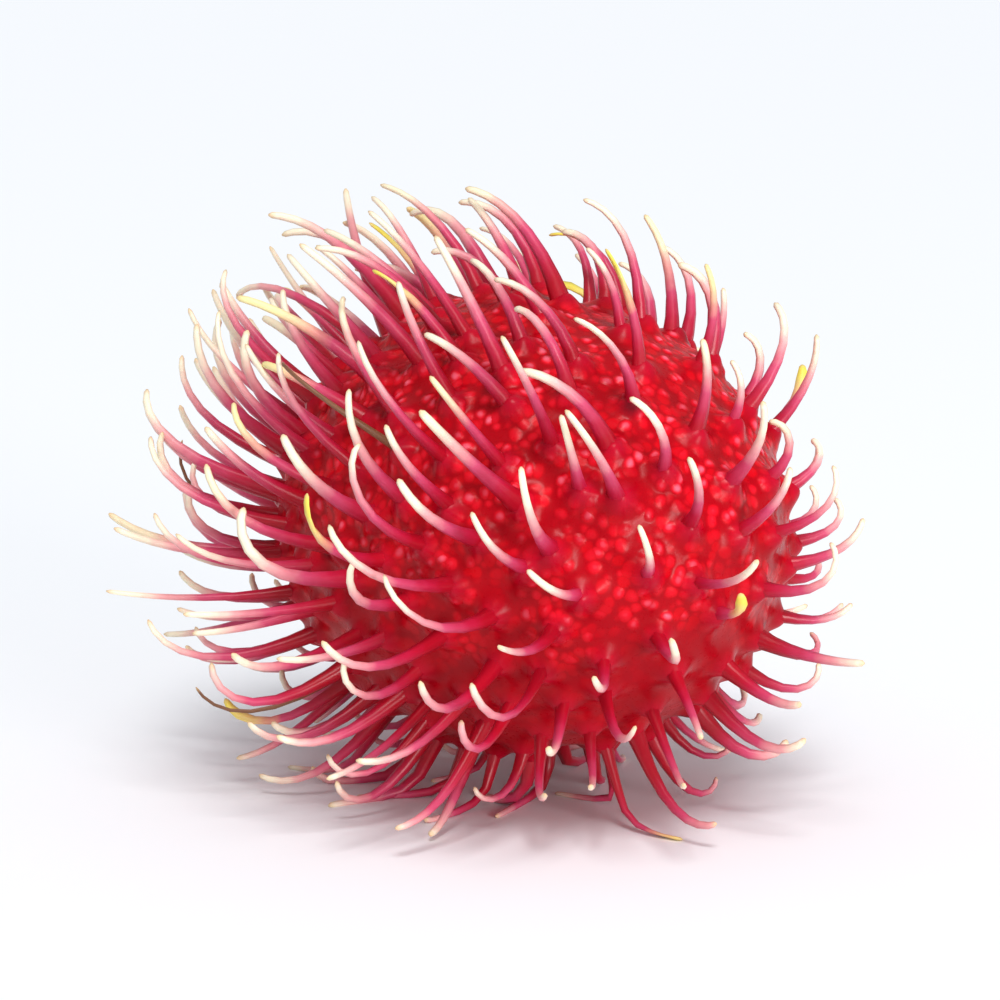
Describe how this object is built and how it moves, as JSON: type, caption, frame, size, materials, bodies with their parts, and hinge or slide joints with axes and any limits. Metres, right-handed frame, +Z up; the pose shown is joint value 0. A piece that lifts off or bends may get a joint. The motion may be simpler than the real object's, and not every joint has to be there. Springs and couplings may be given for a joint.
{
  "type": "rambutan",
  "caption": "Whole ripe rambutan lying on its side: an egg-shaped pebbly red rind covered in soft hooked spines, with a stub of woody stalk at its stem end.",
  "frame": {"origin": "on the surface that the fruit lies on, under the middle of its bounding box", "axes": "+X along the fruit's long axis, from the stem end to the blossom end; +Z up; +Y completes the right-handed frame"},
  "size_m": [0.0678, 0.0594, 0.05],
  "materials": {
    "rind": "fresh leathery fruit skin, waxy sheen over fine pebbles, crimson, the spines paling to cream at their tips",
    "stalk": "dry matt brown bark with a paler snapped end"
  },
  "bodies": {
    "root": {"fruit": "rind", "stem_stub": "stalk"}
  },
  "joints": []
}
